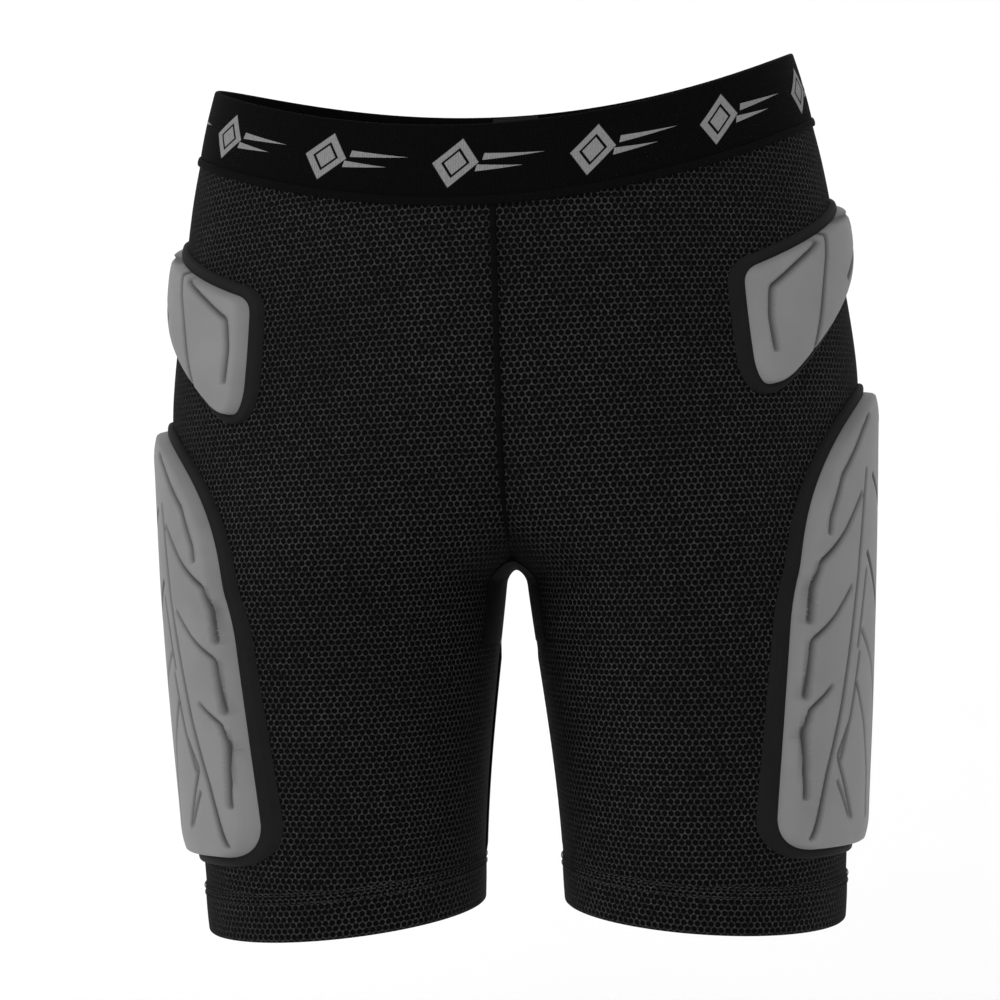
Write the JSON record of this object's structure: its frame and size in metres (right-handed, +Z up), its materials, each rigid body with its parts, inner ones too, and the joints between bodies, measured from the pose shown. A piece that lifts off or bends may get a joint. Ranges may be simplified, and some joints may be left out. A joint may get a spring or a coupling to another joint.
{
  "type": "padded impact shorts",
  "caption": "Close-fitting black mesh shorts with moulded grey impact pads on hips, thighs and tailbone, worn under ski trousers.",
  "frame": {"origin": "on the centre plane of the garment, at the middle of the waist opening", "axes": "+Z up, -Y the wearer's front, +X the wearer's left side"},
  "size_m": [0.386, 0.2469, 0.4505],
  "materials": {
    "mesh_cloth": "black polyester warp-knit mesh with small round holes",
    "stretch_cloth": "black closed stretch knit",
    "waist_elastic": "black jacquard elastic with a plain grey geometric repeat",
    "tape": "black woven tape",
    "thread": "black polyester sewing thread",
    "grip_elastic": "black knitted elastic with a rubber grip face",
    "binding_cloth": "black closed knit over thin foam, turned edge",
    "foam": "closed-cell impact foam",
    "pad_shell": "matte mid-grey heat-moulded foam skin with grooves",
    "lining_cloth": "thin black mesh lining"
  },
  "bodies": {
    "root": {"back_panel_left": "mesh_cloth", "back_panel_right": "mesh_cloth", "back_rise_seam": "thread", "care_label": "tape", "crotch_gusset": "stretch_cloth", "front_panel_left": "mesh_cloth", "front_panel_right": "mesh_cloth", "front_rise_seam": "thread", "hem_band_left": "mesh_cloth", "hem_band_right": "mesh_cloth", "hem_elastic_left": "grip_elastic", "hem_elastic_right": "grip_elastic", "hem_stitching_left": "thread", "hem_stitching_right": "thread", "hip_pad_binding_left": "binding_cloth", "hip_pad_binding_right": "binding_cloth", "hip_pad_foam_left": "foam", "hip_pad_foam_right": "foam", "hip_pad_lining_left": "lining_cloth", "hip_pad_lining_right": "lining_cloth", "hip_pad_shell_left": "pad_shell", "hip_pad_shell_right": "pad_shell", "inseam_left": "thread", "inseam_right": "thread", "tailbone_pad_binding": "binding_cloth", "tailbone_pad_foam": "foam", "tailbone_pad_lining": "lining_cloth", "tailbone_pad_shell": "pad_shell", "thigh_pad_binding_left": "binding_cloth", "thigh_pad_binding_right": "binding_cloth", "thigh_pad_foam_left": "foam", "thigh_pad_foam_right": "foam", "thigh_pad_lining_left": "lining_cloth", "thigh_pad_lining_right": "lining_cloth", "thigh_pad_shell_left": "pad_shell", "thigh_pad_shell_right": "pad_shell", "waist_seam": "thread", "waistband_elastic": "waist_elastic", "waistband_join_tape": "tape"}
  },
  "joints": []
}
